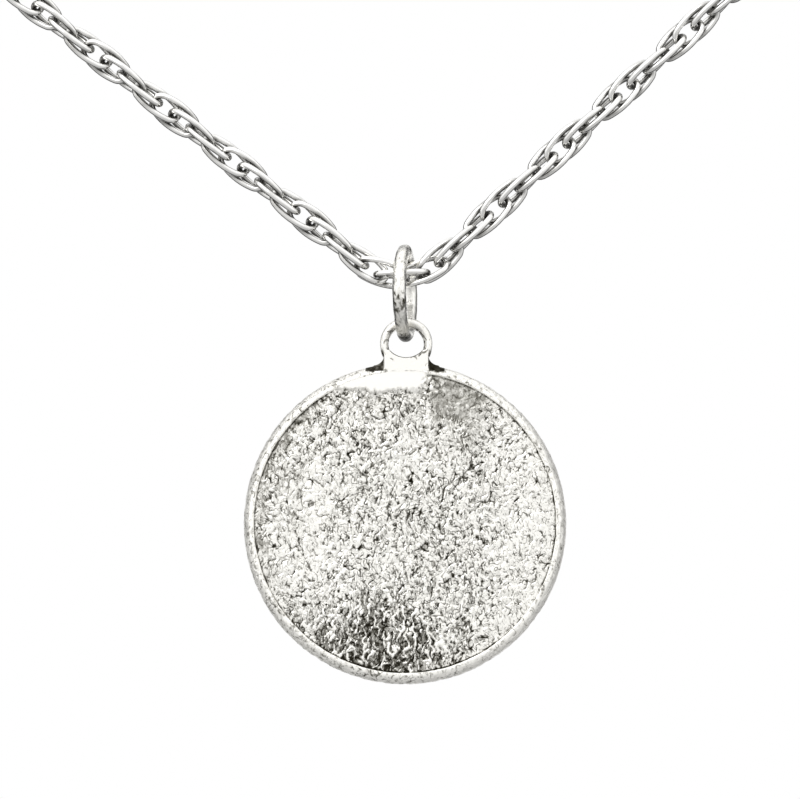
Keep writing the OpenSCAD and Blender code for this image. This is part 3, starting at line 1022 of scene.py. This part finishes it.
def studio_world():
    """White all round to the camera. What the metal mirrors is white with a darker belt at the sides."""
    world = bpy.data.worlds.new("studio")
    bpy.context.scene.world = world
    graph = Graph(world, "Background")
    plain = graph.shader
    plain.inputs["Color"].default_value = WHITE
    plain.inputs["Strength"].default_value = 1.0
    place = graph.nodes.new("ShaderNodeTexCoord")
    split = graph.nodes.new("ShaderNodeSeparateXYZ")
    graph.links.new(place.outputs["Generated"], split.inputs["Vector"])
    depth = half_range(graph, split.outputs["Y"])
    height = half_range(graph, split.outputs["Z"])
    sides = graph.mix("MULTIPLY", graph.ramp(depth, BELT), graph.ramp(height, FALL))
    studio = graph.nodes.new("ShaderNodeBackground")
    studio.inputs["Strength"].default_value = STUDIO_STRENGTH
    graph.links.new(graph.mix("LIGHTEN", sides, graph.ramp(height, OVERHEAD)), studio.inputs["Color"])
    path = graph.nodes.new("ShaderNodeLightPath")
    mix = graph.nodes.new("ShaderNodeMixShader")
    graph.links.new(path.outputs["Is Camera Ray"], mix.inputs["Fac"])
    graph.links.new(studio.outputs["Background"], mix.inputs[1])
    graph.links.new(plain.outputs["Background"], mix.inputs[2])
    graph.links.new(mix.outputs["Shader"], graph.nodes["World Output"].inputs["Surface"])


def aimed(thing, place, target):
    """Puts a lamp or a camera in its place and turns it to its target."""
    thing.location = place
    thing.rotation_euler = (target - place).to_track_quat("-Z", "Y").to_euler()
    bpy.context.scene.collection.objects.link(thing)


def soft_light(name, place, target, size, power):
    """A round area light."""
    data = bpy.data.lights.new(name, "AREA")
    data.shape = "DISK"
    data.size = size
    data.energy = power
    aimed(bpy.data.objects.new(name, data), place, target)


def photo_camera(target):
    """The photo's camera: it faces the back and looks up a little."""
    data = bpy.data.cameras.new("photo")
    data.sensor_width = SENSOR
    data.lens = SENSOR * CAMERA_DISTANCE / PHOTO_WIDTH
    data.clip_start = 0.01
    camera = bpy.data.objects.new("photo", data)
    away = Vector((0, -math.cos(CAMERA_HEIGHT), math.sin(CAMERA_HEIGHT)))
    aimed(camera, target + CAMERA_DISTANCE * away, target)
    bpy.context.scene.camera = camera


# The scene put together

looked_at = (disc_centre + PHOTO_MIDDLE) * MM
photo_camera(looked_at)
pale_floor()
studio_world()
soft_light("key", looked_at + KEY_FROM_MIDDLE, looked_at, KEY_SIZE, KEY_POWER)
bpy.context.scene.view_settings.view_transform = "Standard"

polished = polished_silver()
soldered = soldered_silver()
cast_back = antiqued_silver("cast_silver_back", ground=0.575, grain_scale=5.5, grain_depth=0.28,
                            stroke_scale=2.15, cut=0.3, depth=0.11, metallic=0.75, gloss=(0.5, 0.28))
cast_front = antiqued_silver("cast_silver_front", ground=0.6, grain_scale=4.0, grain_depth=0.5,
                             stroke_scale=1.8, cut=0.2, depth=0.1, metallic=0.9, gloss=(0.45, 0.22))
cast_smooth = antiqued_silver("cast_silver_smooth", ground=0.64, grain_scale=3.0, grain_depth=0.2,
                              stroke_scale=1.0, cut=0.15, depth=0.05, metallic=0.8, gloss=(0.4, 0.25))
cast_rim = antiqued_silver("cast_silver_rim", ground=0.53, grain_scale=3.2, grain_depth=0.9,
                           stroke_scale=1.4, cut=0.3, depth=0.1, metallic=0.6, gloss=(0.45, 0.35))

left = chain("rope_chain_left", -LINKS_LEFT, 0, polished)
right = chain("rope_chain_right", 1, LINKS_RIGHT, polished)
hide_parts("chain_left")
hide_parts("chain_right")
ring = jump_ring(soldered)
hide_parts("jump_ring")
fastening = clasp(polished)
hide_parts("clasp")
for piece, body, slot_name in ((left, "chain", "bright_silver"), (right, "chain", "bright_silver"),
                               (fastening, "chain", "bright_silver"), (ring, "ring", "dull_silver")):
    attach(piece, body)
for piece in (back_field(cast_back), front_field(cast_front), rim(cast_rim), eye(cast_smooth)):
    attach(piece, "pendant")
    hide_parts("medallion")
